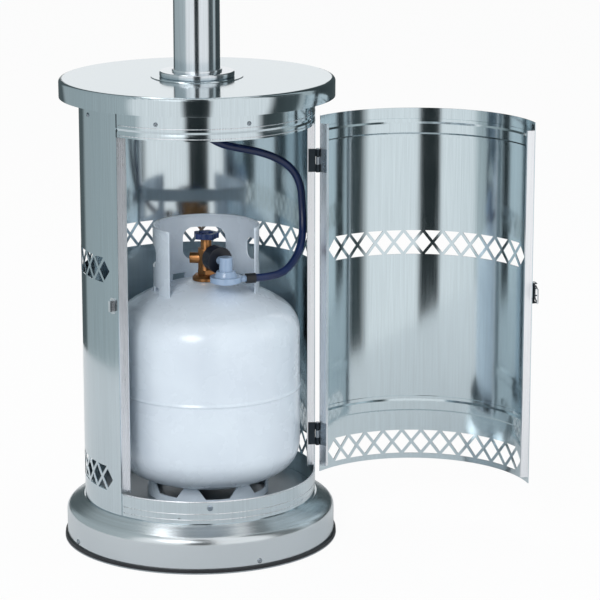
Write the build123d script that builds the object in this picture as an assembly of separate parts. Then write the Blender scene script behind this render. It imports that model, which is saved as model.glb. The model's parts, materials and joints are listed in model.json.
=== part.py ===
from build123d import *
from math import atan2, cos, degrees, hypot, pi, radians, sin, sqrt, tan
import os

# Free-standing gas patio heater: a round base, a cylinder cabinet with a swing door and a gas
# bottle inside, a round table, a two-part post, and a burner head under a reflector.
# Millimetres. +Z is up and the origin is on the floor, on the heater's axis. The closed door
# faces -Y. An angle "phi" runs round the axis from -Y towards +X.

# Sheet and fits
SHEET = 1.2
RUNNING_FIT = 0.05
SEAT_GAP = 0.3

# Base
BASE_R = 228.6
BASE_PLATE_T = 2.0
TRIM_HEIGHT = 5.0
TRIM_W = 6.0
COVER_R = 224.5
COVER_WALL_TOP = 47.0
COVER_TOP_Z = 72.8
COVER_SHOULDER_R = 15.0
COVER_LEDGE_R = 170.0
FLOOR_T = 1.2
BASE_SCREW_Z = 14.0

# Cabinet
CABINET_R = 193.6
SHELL_FOOT_GAP = 1.5
BAND_T = 1.8
BAND_LOW_HEIGHT = 37.0
OPENING_HEIGHT = 590.0
OPENING_HALF_PHI = 67.0
BAND_HIGH_HEIGHT = 73.0
BAND_GROOVE = 1.0
BAND_GROOVE_H = 7.0
BAND_GROOVE_RISE = 7.5
BAND_SCREW_RISE = 26.0
BAND_SCREWS = 8
JAMB_DEPTH = 11.0
JAMB_STOP_W = 8.7
JAMB_END_GAP = 1.0

# Vents: a lattice of crossed bars, cut from the sheet
VENT_PITCH_PHI = 9.63
VENT_HEIGHT = 41.0
VENT_BAR = 5.0
VENT_LOW_RISE = 19.5
VENT_MID_RISE = 369.0
DOOR_VENTS = 12
DOOR_VENT_START = 10.4
SHELL_VENTS = 22
SHELL_VENT_START = 9.6

# Door
DOOR_GAP = 1.0
DOOR_OVERLAP_TOP = 8.0
DOOR_OVERLAP_LOW = 10.0
DOOR_OPEN = 141.4
DOOR_FLANGE_DEPTH = 11.0
DOOR_FLANGE_TOP_GAP = 13.0
DOOR_FLANGE_LOW_GAP = 11.0
DOOR_RETURN_W = 6.0
RIB_HEIGHT = 31.0
RIB_DEPTH = 4.0
RIB_LIP = 5.0
RIB_TOP_DROP = 49.0
RIB_LOW_RISE = 80.0

# Hinges
HINGE_BARREL_R = 3.4
HINGE_PIN_R = 1.6
HINGE_OUT = 3.8
HINGE_HEIGHT = 38.4
HINGE_LEAF_T = 1.4
HINGE_LEAF_DEPTH = 12.0
HINGE_KNUCKLE_GAP = 0.3
HINGE_LOW_RISE = 37.0
HINGE_HIGH_RISE = 504.0
HINGE_HEAD_H = 1.6

# Latch
LATCH_RISE = 314.0
LATCH_HEIGHT = 34.0
LATCH_PLATE_W = 20.0
LATCH_PLATE_T = 1.4
LATCH_EAR_T = 1.6
LATCH_EAR_RISE = 9.0
LATCH_PIN_R = 1.5
LATCH_PIN_X = -5.5
LATCH_PIN_OUT = 4.6
LATCH_LEVER_L = 24.0
LATCH_LEVER_T = 2.0
LATCH_LUG_Y = 6.0
LATCH_WIRE_R = 1.2
LATCH_BAIL_X = 0.5
LATCH_BAIL_OUT = 9.8
LATCH_BAIL_BEND = 3.0
KEEPER_W = 12.0
KEEPER_HEIGHT = 27.0
KEEPER_PHI = -70.7
KEEPER_OUT = 8.0
KEEPER_HOOK_W = 5.0
KEEPER_HOOK_H = 18.0
KEEPER_WIRE_OUT = 5.0

# Table
TABLE_R = 225.7
TABLE_SKIRT = 30.0
TABLE_T = 1.5
TABLE_EDGE_R = 6.0
TABLE_BOSS_R = 76.0
TABLE_BOSS_H = 1.2
TOP_PLATE_T = 3.0
CENTRE_HOLE_R = 20.0

# Post
POST_R = 38.1
POST_WALL = 1.5
FLANGE_R = 61.5
FLANGE_H = 9.0
FLANGE_NECK_R = 41.0
FLANGE_NECK_H = 3.5
FLANGE_BOLT_PCD = 104.0
FLANGE_BOLTS = 4
LOWER_POST = 470.0
UPPER_POST = 500.0
SLEEVE_HEIGHT = 46.0
SLEEVE_T = 2.0
PIPE_R = 5.0

# Burner head
HEAD_R = 100.0
HEAD_HEIGHT = 120.0
HEAD_PLATE_T = 2.0
HEAD_NECK_H = 28.0
KNOB_R = 21.0
KNOB_DEPTH = 20.0
KNOB_SKIRT = 6.0
KNOB_GAP = 1.0
KNOB_FLUTES = 12
KNOB_TRAVEL = 3.0
SPINDLE_R = 4.0
SPINDLE_LENGTH = 68.0
SPINDLE_OUT = 10.0
SPINDLE_HOLE_GAP = 1.5
CONTROL_RISE = 62.0
VALVE_BLOCK = 44.0
VALVE_BLOCK_SETBACK = 30.0
TILT_SWITCH = (34.0, 24.0, 32.0)
TILT_SWITCH_Y = 52.0
IGNITER_PHI = 34.0
IGNITER_R = 8.0
IGNITER_BEZEL = 3.0
IGNITER_OUT = 7.0
IGNITER_TRAVEL = 5.0
IGNITER_BODY_L = 34.0
BURNER_R = 58.0
BURNER_HEIGHT = 34.0
SCREEN_R = 92.0
SCREEN_HEIGHT = 232.0
SCREEN_T = 1.0
SCREEN_CAP_OVER = 2.5
PILOT_R = 4.0
PILOT_HEIGHT = 70.0
PILOT_OUT = 14.0
PILOT_HALF_PHI = 8.0

# Reflector
REFLECTOR_R = 406.4
REFLECTOR_DROP = 92.0
REFLECTOR_CROWN_R = 112.0
REFLECTOR_KNEE_R = 300.0
REFLECTOR_KNEE_DROP = 44.0
REFLECTOR_T = 1.2
REFLECTOR_RIM_H = 6.0
REFLECTOR_CLEAR = 95.0
STUD_R = 3.0
STUD_PCD = 160.0
STUDS = 3
STUD_OVER = 14.0
STUD_NUT_R = 6.5
STUD_NUT_H = 5.0
WING_NUT_R = 7.0
WING_NUT_H = 8.0
WING_SPAN = 30.0
WING_T = 2.2

# Gas bottle
BOTTLE_AT = (11.0, -6.0)
BOTTLE_R = 155.0
BOTTLE_WALL = 3.0
BOTTLE_HEIGHT = 363.0
BOTTLE_UNDER = 12.0
HEAD_KNUCKLE_R = 55.0
HEAD_CROWN_TOP_R = 230.0
HEAD_CROWN_LOW_R = 300.0
SEAM_RISE = 185.0
SEAM_H = 7.0
SEAM_OUT = 1.6
NECK_HOLE_R = 12.0
FOOT_R = 101.6
FOOT_T = 2.5
FOOT_NOTCHES = 7
FOOT_NOTCH_START = -15.8
FOOT_NOTCH_TOP_PHI = 34.0
FOOT_NOTCH_LOW_PHI = 22.6
FOOT_NOTCH_LOW = 11.6
FOOT_NOTCH_HEIGHT = 14.0
COLLAR_R = 88.0
COLLAR_T = 2.5
COLLAR_HEIGHT = 92.0
COLLAR_SINK = 26.0
COLLAR_START_PHI = 42.0
COLLAR_SWEEP = 248.5
COLLAR_HOLE_DROP = 49.0
COLLAR_HOLE_PHIS = (79.0, 157.0, 241.0)
COLLAR_HOLE_HEIGHTS = (36.0, 56.0, 36.0)
COLLAR_HOLE_W = 72.0
COLLAR_NOTCH_PHIS = (118.0, 188.0, 264.0)
COLLAR_NOTCH_W = 24.0
COLLAR_NOTCH_H = 12.0

# Bottle valve and regulator
BOSS_R = 23.0
BOSS_H = 9.0
VALVE_R = 13.5
VALVE_RISE = 33.0
VALVE_FOOT_H = 8.0
BONNET_RISE = 27.0
BONNET_H = 16.0
VALVE_OUTLET_R = 11.0
VALVE_OUTLET_L = 34.0
BONNET_R = 9.0
RELIEF_R = 9.0
RELIEF_L = 27.0
RELIEF_PHI = -122.0
RELIEF_DROP = 6.0
WHEEL_R = 21.5
WHEEL_LOBES = 5
WHEEL_H = 9.0
WHEEL_RIM = 4.0
WHEEL_CLEAR = 1.0
STEM_R = 3.0
STEM_DEPTH = 9.0
NUT_R = 22.0
NUT_BORE_R = 17.0
NUT_L = 24.0
NUT_LOBES = 10
NUT_START = 30.0
INLET_R = 7.0
INLET_L = 46.0
REGULATOR_R = 26.0
REGULATOR_H = 12.0
REGULATOR_DOME_R = 19.0
REGULATOR_DOME_H = 9.0
REGULATOR_Y = -75.0
REGULATOR_DROP = 34.0
REGULATOR_OUT_PHI = 80.0
OUTLET_R = 5.2
OUTLET_L = 8.0

# Gas hose, from the regulator's outlet up to the union under the top plate
HOSE_R = 6.5
FERRULE_R = 8.2
FERRULE_L = 16.0
UNION_R = 11.0
UNION_L = 26.0
HOSE_POINTS = (
    (85, -94, 451),
    (113, -91, 456),
    (139, -79, 471),
    (159, -64, 495),
    (169, -49, 523),
    (170, -40, 551),
    (163, -38, 576),
    (145, -34, 599),
    (115, -27, 618),
    (55, -13, 635),
    (27, -6, 655),
    (8, -2, 678),
    (0, 0, 703),
)

# Derived levels
TRIM_TOP_Z = BASE_PLATE_T + TRIM_HEIGHT
FLOOR_Z = COVER_TOP_Z + FLOOR_T
BAND_R = CABINET_R - SHEET
OPENING_Z = COVER_TOP_Z + BAND_LOW_HEIGHT + SHEET
OPENING_TOP_Z = OPENING_Z + OPENING_HEIGHT
CABINET_TOP_Z = OPENING_TOP_Z + BAND_HIGH_HEIGHT
TABLE_Z = CABINET_TOP_Z + TABLE_T
BOSS_Z = TABLE_Z + TABLE_BOSS_H
HEAD_Z = BOSS_Z + LOWER_POST + UPPER_POST
HOUSING_Z = HEAD_Z + HEAD_PLATE_T
BURNER_Z = HOUSING_Z + HEAD_HEIGHT + HEAD_PLATE_T
SCREEN_TOP_Z = BURNER_Z + SCREEN_HEIGHT
CAP_TOP_Z = SCREEN_TOP_Z + HEAD_PLATE_T
CROWN_Z = CAP_TOP_Z + REFLECTOR_CLEAR
DOOR_R = CABINET_R + DOOR_GAP
DOOR_LOW_Z = OPENING_Z - DOOR_OVERLAP_LOW
DOOR_TOP_Z = OPENING_TOP_Z + DOOR_OVERLAP_TOP
HINGE_R = CABINET_R + HINGE_OUT
DOOR_HALF_PHI = OPENING_HALF_PHI - degrees(2 * HINGE_BARREL_R / CABINET_R)
LATCH_Z = OPENING_Z + LATCH_RISE
CONTROL_Z = HOUSING_Z + CONTROL_RISE
BOTTLE_LOW_TANGENT_Z = FLOOR_Z + BOTTLE_UNDER + HEAD_CROWN_LOW_R - sqrt(
    (HEAD_CROWN_LOW_R - HEAD_KNUCKLE_R) ** 2 - (BOTTLE_R - HEAD_KNUCKLE_R) ** 2
)
BOTTLE_TOP_Z = FLOOR_Z + BOTTLE_HEIGHT
BOTTLE_TOP_TANGENT_Z = BOTTLE_TOP_Z - HEAD_CROWN_TOP_R + sqrt(
    (HEAD_CROWN_TOP_R - HEAD_KNUCKLE_R) ** 2 - (BOTTLE_R - HEAD_KNUCKLE_R) ** 2
)
COLLAR_TOP_Z = BOTTLE_TOP_Z + COLLAR_HEIGHT
BOSS_TOP_Z = BOTTLE_TOP_Z + BOSS_H
VALVE_Z = BOSS_TOP_Z + VALVE_RISE
BONNET_Z = VALVE_Z + BONNET_RISE
REGULATOR_Z = VALVE_Z - REGULATOR_DROP


def tangent(phi):
    """Unit vector along growing phi."""
    return Vector(cos(radians(phi)), sin(radians(phi)), 0)


def outward(phi):
    """Unit vector away from the axis at phi."""
    return Vector(sin(radians(phi)), -cos(radians(phi)), 0)


def polar(phi, radius, z=0.0):
    return outward(phi) * radius + Vector(0, 0, z)


def wall_plane(phi, radius, z):
    """Plane tangent to a cylinder: local x along growing phi, local y up, normal outward."""
    return Plane(origin=polar(phi, radius, z), x_dir=tangent(phi), z_dir=outward(phi))


def turned(points, start_phi=None, sweep=360.0):
    """Solid of revolution about Z from (radius, z) points, or a sector of it."""
    face = Plane.XZ * make_face(Polyline(*points, close=True))
    return turned_face(face, start_phi, sweep)


def turned_face(face, start_phi=None, sweep=360.0):
    solid = revolve(face, axis=Axis.Z, revolution_arc=sweep)
    if start_phi is None:
        return solid
    return Rot(0, 0, start_phi - 90) * solid


def ring(r_in, r_out, z_low, z_high, start_phi=None, sweep=360.0):
    points = [(r_in, z_low), (r_out, z_low), (r_out, z_high), (r_in, z_high)]
    return turned(points, start_phi, sweep)


def disc(radius, z_low, z_high, hole_r=0.0):
    body = Pos(0, 0, (z_low + z_high) / 2) * Cylinder(radius, z_high - z_low)
    if hole_r:
        body -= Pos(0, 0, (z_low + z_high) / 2) * Cylinder(hole_r, 2 * (z_high - z_low))
    return body


def rod(start, end, radius):
    """Round bar between two points."""
    start, end = Vector(*start), Vector(*end)
    plane = Plane(origin=start, z_dir=end - start)
    return extrude(plane * Circle(radius), (end - start).length)


def prism(start, end, radius, sides):
    """Bar with a regular polygon section between two points."""
    start, end = Vector(*start), Vector(*end)
    plane = Plane(origin=start, z_dir=end - start)
    return extrude(plane * RegularPolygon(radius, sides), (end - start).length)


def local_box(plane, x_range, y_range, z_range):
    """Box given by ranges along a plane's own axes."""
    (x0, x1), (y0, y1), (z0, z1) = x_range, y_range, z_range
    box = Box(x1 - x0, y1 - y0, z1 - z0)
    return plane * Pos((x0 + x1) / 2, (y0 + y1) / 2, (z0 + z1) / 2) * box


def at_bottle(shape):
    return Pos(BOTTLE_AT[0], BOTTLE_AT[1], 0) * shape


def hinge_at(z=0.0):
    """A point on the door's axis, one barrel's radius inside the opening's edge."""
    return polar(OPENING_HALF_PHI, HINGE_R, z) - tangent(OPENING_HALF_PHI) * HINGE_BARREL_R


def swung(shape):
    """A door piece, drawn closed, turned to the stored open position."""
    return shape.rotate(Axis(hinge_at(), (0, 0, 1)), DOOR_OPEN)


# Base

def base_plate():
    return disc(BASE_R, 0, BASE_PLATE_T)


def edge_trim():
    return ring(BASE_R - TRIM_W, BASE_R - 0.6, BASE_PLATE_T, TRIM_TOP_Z)


def base_cover():
    """Pressed cover: upright wall, rounded shoulder and a sloping top under the cabinet."""
    slope_r = CABINET_R + 2
    points = [
        (COVER_R, TRIM_TOP_Z),
        (COVER_R, COVER_WALL_TOP + COVER_SHOULDER_R / 2),
        (slope_r, COVER_TOP_Z),
        (COVER_LEDGE_R, COVER_TOP_Z),
        (COVER_LEDGE_R, COVER_TOP_Z - SHEET),
        (slope_r, COVER_TOP_Z - SHEET),
        (COVER_R - SHEET, COVER_WALL_TOP),
        (COVER_R - SHEET, TRIM_TOP_Z),
    ]
    face = make_face(Polyline(*points, close=True))
    shoulder = face.vertices().sort_by_distance((points[1][0], points[1][1], 0))[0]
    face = face.face().fillet_2d(COVER_SHOULDER_R, [shoulder])
    return turned_face(Plane.XZ * face)


def base_screws():
    heads = []
    for step in range(4):
        phi = 90.0 * step
        heads.append(
            prism(polar(phi, COVER_R, BASE_SCREW_Z), polar(phi, COVER_R + 1.8, BASE_SCREW_Z), 4.2, 10)
        )
    return heads


def floor_plate():
    return disc(BAND_R - BAND_T - SEAT_GAP, COVER_TOP_Z, FLOOR_Z)


# Cabinet

def bottom_band():
    """Plain ring under the door, with two screw holes and one larger cable hole."""
    band = ring(BAND_R - BAND_T, BAND_R, COVER_TOP_Z, OPENING_Z)
    for phi, rise, radius in ((-35.6, 9.0, 1.8), (35.6, 9.0, 1.8), (-20.5, 27.5, 5.0)):
        hole = wall_plane(phi, BAND_R, COVER_TOP_Z + rise) * Circle(radius)
        band -= extrude(hole, 2 * BAND_T, both=True)
    return band


def top_band():
    """Ring over the door with one rolled groove near its lower edge."""
    inner_r = BAND_R - BAND_T
    groove_z = OPENING_TOP_Z + BAND_GROOVE_RISE
    points = [
        (inner_r, OPENING_TOP_Z),
        (BAND_R, OPENING_TOP_Z),
        (BAND_R, groove_z),
        (BAND_R - BAND_GROOVE, groove_z + BAND_GROOVE_H / 2),
        (BAND_R, groove_z + BAND_GROOVE_H),
        (BAND_R, CABINET_TOP_Z),
        (inner_r, CABINET_TOP_Z),
    ]
    return turned(points)


def vent_openings(phi_first, count, step, radius, z):
    """Cutters for one row: diamonds, with a pair of triangles between each two."""
    half_w = radius * radians(abs(step)) / 2
    half_h = VENT_HEIGHT / 2
    slant = hypot(half_w, half_h)
    rise = VENT_BAR / 2 * slant / half_w
    keep = 1 - rise / half_h
    diamond = [(-half_w * keep, 0), (0, -half_h * keep), (half_w * keep, 0), (0, half_h * keep)]
    cutters = []
    for index in range(count):
        phi = phi_first + index * step
        plane = wall_plane(phi, radius, z)
        cutters.append(extrude(plane * make_face(Polyline(*diamond, close=True)), 4 * SHEET, both=True))
        if index == count - 1:
            continue
        plane = wall_plane(phi + step / 2, radius, z)
        for side in (-1, 1):
            triangle = [
                (0, side * rise),
                (-half_w * keep, side * half_h),
                (half_w * keep, side * half_h),
            ]
            face = make_face(Polyline(*triangle, close=True))
            cutters.append(extrude(plane * face, 4 * SHEET, both=True))
    return cutters


def cabinet_shell():
    """Fixed sheet round the back, pierced by two rows of lattice vents."""
    sweep = 360 - 2 * OPENING_HALF_PHI
    low_z = COVER_TOP_Z + SHELL_FOOT_GAP
    shell = ring(BAND_R, CABINET_R, low_z, CABINET_TOP_Z, OPENING_HALF_PHI, sweep)
    first = -OPENING_HALF_PHI - SHELL_VENT_START
    for rise in (VENT_LOW_RISE, VENT_MID_RISE):
        shell -= vent_openings(first, SHELL_VENTS, -VENT_PITCH_PHI, CABINET_R, OPENING_Z + rise)
    return shell


def jamb(side):
    """Upright strip at one side of the opening: a face in line with the sheet's edge and a stop."""
    plane = wall_plane(side * OPENING_HALF_PHI, 0, 0)
    low_z = OPENING_Z + JAMB_END_GAP
    high_z = OPENING_TOP_Z - JAMB_END_GAP
    outer = BAND_R - 0.3
    face = local_box(plane, (0, side * SHEET) if side > 0 else (-SHEET, 0),
                     (low_z, high_z), (outer - JAMB_DEPTH, outer))
    stop_x = (-JAMB_STOP_W, SHEET) if side > 0 else (-SHEET, JAMB_STOP_W)
    stop = local_box(plane, stop_x, (low_z, high_z), (outer - JAMB_DEPTH - SHEET, outer - JAMB_DEPTH))
    return face + stop


def band_screws():
    """Round heads on the top band, and on the sheet where it covers the band."""
    heads = []
    z = OPENING_TOP_Z + BAND_SCREW_RISE
    for step in range(BAND_SCREWS):
        phi = 360.0 * step / BAND_SCREWS
        on_band = phi < OPENING_HALF_PHI or phi > 360 - OPENING_HALF_PHI
        seat = BAND_R if on_band else CABINET_R
        heads.append(prism(polar(phi, seat, z), polar(phi, seat + 1.8, z), 3.6, 10))
    return heads


# Door, drawn closed

def door_skin():
    half = DOOR_HALF_PHI
    skin = ring(DOOR_R, DOOR_R + SHEET, DOOR_LOW_Z, DOOR_TOP_Z, -half, 2 * half)
    first = half - DOOR_VENT_START
    for rise in (VENT_LOW_RISE, VENT_MID_RISE):
        skin -= vent_openings(first, DOOR_VENTS, -VENT_PITCH_PHI, DOOR_R, OPENING_Z + rise)
    return swung(skin)


def door_flange(side):
    """Upright stiffener behind one edge of the door skin, with a return along the skin."""
    plane = wall_plane(side * DOOR_HALF_PHI, 0, 0)
    z_range = (DOOR_LOW_Z + DOOR_FLANGE_LOW_GAP, DOOR_TOP_Z - DOOR_FLANGE_TOP_GAP)
    top = DOOR_R * cos(radians(0.5)) - 0.1
    sheet_x = (-SHEET, 0) if side > 0 else (0, SHEET)
    return_x = (-DOOR_RETURN_W, 0) if side > 0 else (0, DOOR_RETURN_W)
    depth = DOOR_FLANGE_DEPTH
    web = local_box(plane, sheet_x, z_range, (top - depth, top))
    foot = local_box(plane, return_x, z_range, (top - depth - SHEET, top - depth))
    return swung(web + foot)


def door_rib(z_low):
    """Rolled stiffener across the inside of the door, with a lip at its top and bottom."""
    margin = degrees((DOOR_RETURN_W + 1.0) / DOOR_R)
    half = DOOR_HALF_PHI - margin
    back = DOOR_R - 0.1
    face = back - RIB_DEPTH
    points = [
        (back, z_low),
        (back, z_low + RIB_HEIGHT),
        (back - SHEET, z_low + RIB_HEIGHT),
        (back - SHEET, z_low + RIB_HEIGHT - RIB_LIP),
        (face, z_low + RIB_HEIGHT - 1.6 * RIB_LIP),
        (face, z_low + 1.6 * RIB_LIP),
        (back - SHEET, z_low + RIB_LIP),
        (back - SHEET, z_low),
    ]
    return swung(turned(points, -half, 2 * half))


# Hinges: both share one axis, just outside the skin

def hinge_levels():
    return (OPENING_Z + HINGE_LOW_RISE, OPENING_Z + HINGE_HIGH_RISE)


def knuckle(z_low, z_high):
    low, high = hinge_at(z_low), hinge_at(z_high)
    return rod(low, high, HINGE_BARREL_R) - rod(low, high, HINGE_PIN_R + RUNNING_FIT)


def hinge_leaf(z_low, phi, side, shares):
    """A leaf flat on the plane at phi, with knuckles over the given shares of its height."""
    plane = wall_plane(phi, 0, 0)
    across = sorted((0, side * HINGE_LEAF_T))
    top = HINGE_R - HINGE_BARREL_R - SEAT_GAP
    leaf = local_box(plane, across, (z_low, z_low + HINGE_HEIGHT), (top - HINGE_LEAF_DEPTH, top))
    for low, high in shares:
        z0 = z_low + low * HINGE_HEIGHT + (HINGE_KNUCKLE_GAP if low else 0)
        z1 = z_low + high * HINGE_HEIGHT
        web = local_box(plane, across, (z0, z1), (top, HINGE_R))
        web -= rod(hinge_at(z0), hinge_at(z1), HINGE_BARREL_R - HINGE_LEAF_T / 2)
        leaf += web + knuckle(z0, z1)
    return leaf


def frame_hinge_leaves():
    shares = ((0, 1 / 3), (2 / 3, 1))
    return [hinge_leaf(z, OPENING_HALF_PHI, -1, shares) for z in hinge_levels()]


def door_hinge_leaves():
    shares = ((1 / 3, 2 / 3 - HINGE_KNUCKLE_GAP / HINGE_HEIGHT),)
    return [swung(hinge_leaf(z, DOOR_HALF_PHI, 1, shares)) for z in hinge_levels()]


def hinge_pins():
    pins = []
    for z in hinge_levels():
        top = z + HINGE_HEIGHT
        pin = rod(hinge_at(z), hinge_at(top), HINGE_PIN_R)
        head = rod(hinge_at(top), hinge_at(top + HINGE_HEAD_H), HINGE_BARREL_R - 0.6)
        pins.append(pin + head)
    return pins


# Latch: a plate with two ears on the door, a lever between them, a wire bail held by the lever
# and a catch on the cabinet. The lever's and the bail's axes are upright.

def latch_frame():
    phi = -DOOR_HALF_PHI + degrees((LATCH_PLATE_W / 2 + 2.0) / DOOR_R)
    return wall_plane(phi, DOOR_R + SHEET, LATCH_Z)


def upright(x, out, radius, length):
    """Upright bar in the latch's frame, centred on its height."""
    return latch_frame() * Pos(x, 0, out) * Rot(90, 0, 0) * Cylinder(radius, length)


def latch_plate():
    plane = latch_frame()
    half_h, half_w = LATCH_HEIGHT / 2, LATCH_PLATE_W / 2
    plate = local_box(plane, (-half_w, half_w), (-half_h, half_h), (0, LATCH_PLATE_T))
    for side in (-1, 1):
        y_range = sorted((side * half_h, side * (half_h - LATCH_EAR_T)))
        plate += local_box(plane, (LATCH_PIN_X - 4, LATCH_PIN_X + 4), y_range, (0, LATCH_EAR_RISE))
    return swung(plate - upright(LATCH_PIN_X, LATCH_PIN_OUT, LATCH_PIN_R + RUNNING_FIT, 2 * LATCH_HEIGHT))


def latch_lever():
    """Lever with its own pin ends, lying along the plate, and two lugs that hold the bail."""
    plane = latch_frame()
    inner = LATCH_HEIGHT / 2 - LATCH_EAR_T - SEAT_GAP
    low, high = LATCH_PIN_OUT, LATCH_PIN_OUT + LATCH_LEVER_T
    lever = upright(LATCH_PIN_X, LATCH_PIN_OUT, LATCH_PIN_R, LATCH_HEIGHT)
    lever += local_box(plane, (LATCH_PIN_X, LATCH_PIN_X + LATCH_LEVER_L), (-inner, inner), (low, high))
    lever += upright(LATCH_PIN_X + LATCH_LEVER_L, high, LATCH_LEVER_T, 2 * inner)
    for side in (-1, 1):
        y_range = (side * LATCH_LUG_Y - LATCH_EAR_T / 2, side * LATCH_LUG_Y + LATCH_EAR_T / 2)
        x_range = (LATCH_BAIL_X - 2.6, LATCH_BAIL_X + 2.6)
        lever += local_box(plane, x_range, y_range, (low, LATCH_BAIL_OUT + 2.4))
    bore = upright(LATCH_BAIL_X, LATCH_BAIL_OUT, LATCH_WIRE_R + RUNNING_FIT, 2 * LATCH_LUG_Y + 4)
    return swung(lever - bore)


def latch_bail():
    """Wire loop that reaches past the door's edge and drops behind the catch."""
    hook = wall_plane(KEEPER_PHI, CABINET_R, LATCH_Z)
    far = hook.from_local_coords(
        Vector(-KEEPER_HOOK_W / 2 - LATCH_WIRE_R - SEAT_GAP, 0, KEEPER_WIRE_OUT)
    )
    near = latch_frame().from_local_coords(Vector(LATCH_BAIL_X, 0, LATCH_BAIL_OUT))
    half = LATCH_HEIGHT / 2 - LATCH_EAR_T - 4.0
    up = Vector(0, 0, half)
    corners = [near - up, far - up, far + up, near + up]
    path = FilletPolyline(*corners, radius=LATCH_BAIL_BEND, close=True)
    section = Plane(origin=path @ 0, z_dir=path % 0) * Circle(LATCH_WIRE_R)
    return swung(sweep(section, path=path))


def latch_keeper():
    """Catch on the fixed sheet: a rounded foot and an upright block for the bail."""
    plane = wall_plane(KEEPER_PHI, CABINET_R, LATCH_Z)
    foot = extrude(plane * RectangleRounded(KEEPER_W, KEEPER_HEIGHT, KEEPER_W * 0.45), SHEET)
    half_w, half_h = KEEPER_HOOK_W / 2, KEEPER_HOOK_H / 2
    return foot + local_box(plane, (-half_w, half_w), (-half_h, half_h), (0, KEEPER_OUT))


# Table and post

def table_top():
    """Spun top with a deep skirt, a rounded edge and a low boss under the post."""
    edge = TABLE_R
    inner_r = TABLE_R - TABLE_T
    points = [
        (CENTRE_HOLE_R, TABLE_Z - TABLE_T),
        (inner_r - TABLE_EDGE_R / 2, TABLE_Z - TABLE_T),
        (inner_r, TABLE_Z - TABLE_T - TABLE_EDGE_R / 2),
        (inner_r, TABLE_Z - TABLE_SKIRT),
        (edge, TABLE_Z - TABLE_SKIRT),
        (edge, TABLE_Z),
        (TABLE_BOSS_R, TABLE_Z),
        (TABLE_BOSS_R - TABLE_BOSS_H, BOSS_Z),
        (CENTRE_HOLE_R, BOSS_Z),
    ]
    face = make_face(Polyline(*points, close=True))
    corner = face.vertices().sort_by_distance((edge, TABLE_Z, 0))[0]
    face = face.face().fillet_2d(TABLE_EDGE_R, [corner])
    return turned_face(Plane.XZ * face)


def top_plate():
    radius = BAND_R - BAND_T - SEAT_GAP
    return disc(radius, CABINET_TOP_Z - TOP_PLATE_T, CABINET_TOP_Z, CENTRE_HOLE_R)


def flange_bolt_points():
    for step in range(FLANGE_BOLTS):
        phi = 45.0 + 360.0 * step / FLANGE_BOLTS
        yield polar(phi, FLANGE_BOLT_PCD / 2)


def bolt_holes(radius, z_low, z_high):
    return [rod(p + Vector(0, 0, z_low), p + Vector(0, 0, z_high), radius) for p in flange_bolt_points()]


def post_flange():
    bore = POST_R + 0.1
    top = BOSS_Z + FLANGE_H
    points = [
        (bore, BOSS_Z),
        (FLANGE_R - 1.0, BOSS_Z),
        (FLANGE_R, BOSS_Z + 1.0),
        (FLANGE_R, top - 1.5),
        (FLANGE_R - 1.5, top),
        (FLANGE_NECK_R, top),
        (FLANGE_NECK_R, top + FLANGE_NECK_H),
        (bore, top + FLANGE_NECK_H),
    ]
    return turned(points)


def flange_bolts():
    """Hexagon heads seen inside the cabinet, under the top plate."""
    z = CABINET_TOP_Z - TOP_PLATE_T
    return [
        prism(p + Vector(0, 0, z - 4.5), p + Vector(0, 0, z), 5.5, 6) for p in flange_bolt_points()
    ]


def lower_post():
    return ring(POST_R - POST_WALL, POST_R, BOSS_Z, BOSS_Z + LOWER_POST)


def upper_post():
    low = BOSS_Z + LOWER_POST
    return ring(POST_R - POST_WALL, POST_R, low, HEAD_Z)


def post_sleeve():
    joint = BOSS_Z + LOWER_POST
    bore = POST_R + 0.1
    half = SLEEVE_HEIGHT / 2
    return ring(bore, bore + SLEEVE_T, joint - half, joint + half)


def gas_pipe():
    """Rigid pipe inside the post, from the union to the control valve."""
    low = CABINET_TOP_Z - TOP_PLATE_T
    return rod((0, 0, low), (0, 0, CONTROL_Z - VALVE_BLOCK / 2), PIPE_R)


# Burner head

def head_base():
    """Bottom cover of the head with the neck that clamps on the post."""
    bore = POST_R + 0.1
    points = [
        (bore, HEAD_Z - HEAD_NECK_H),
        (bore + SLEEVE_T, HEAD_Z - HEAD_NECK_H),
        (bore + SLEEVE_T, HEAD_Z),
        (HEAD_R, HEAD_Z),
        (HEAD_R, HOUSING_Z),
        (PIPE_R + 3, HOUSING_Z),
        (PIPE_R + 3, HEAD_Z),
        (bore, HEAD_Z),
    ]
    return turned(points)


def control_plane(phi, radius):
    return wall_plane(phi, radius, CONTROL_Z)


def head_housing():
    """Drum round the gas controls, pierced for the knob's spindle and the lighter."""
    wall = ring(HEAD_R - SHEET, HEAD_R, HOUSING_Z, HOUSING_Z + HEAD_HEIGHT)
    holes = [
        extrude(control_plane(0, HEAD_R) * Circle(SPINDLE_R + SPINDLE_HOLE_GAP), 5 * SHEET, both=True),
        extrude(control_plane(IGNITER_PHI, HEAD_R) * Circle(IGNITER_R + SEAT_GAP), 5 * SHEET, both=True),
    ]
    return wall - holes


def burner_plate():
    z = HOUSING_Z + HEAD_HEIGHT
    return disc(HEAD_R, z, z + HEAD_PLATE_T, PIPE_R + 6)


def burner():
    """Mixing cup under the emitter, with a ring of ports near its rim."""
    points = [
        (0, BURNER_Z),
        (BURNER_R * 0.6, BURNER_Z),
        (BURNER_R, BURNER_Z + BURNER_HEIGHT * 0.5),
        (BURNER_R, BURNER_Z + BURNER_HEIGHT),
        (BURNER_R * 0.5, BURNER_Z + BURNER_HEIGHT * 1.1),
        (0, BURNER_Z + BURNER_HEIGHT * 1.1),
    ]
    return turned(points)


def emitter_screen():
    return ring(SCREEN_R - SCREEN_T, SCREEN_R, BURNER_Z, SCREEN_TOP_Z)


def emitter_cap():
    return disc(SCREEN_R + SCREEN_CAP_OVER, SCREEN_TOP_Z, CAP_TOP_Z)


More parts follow.
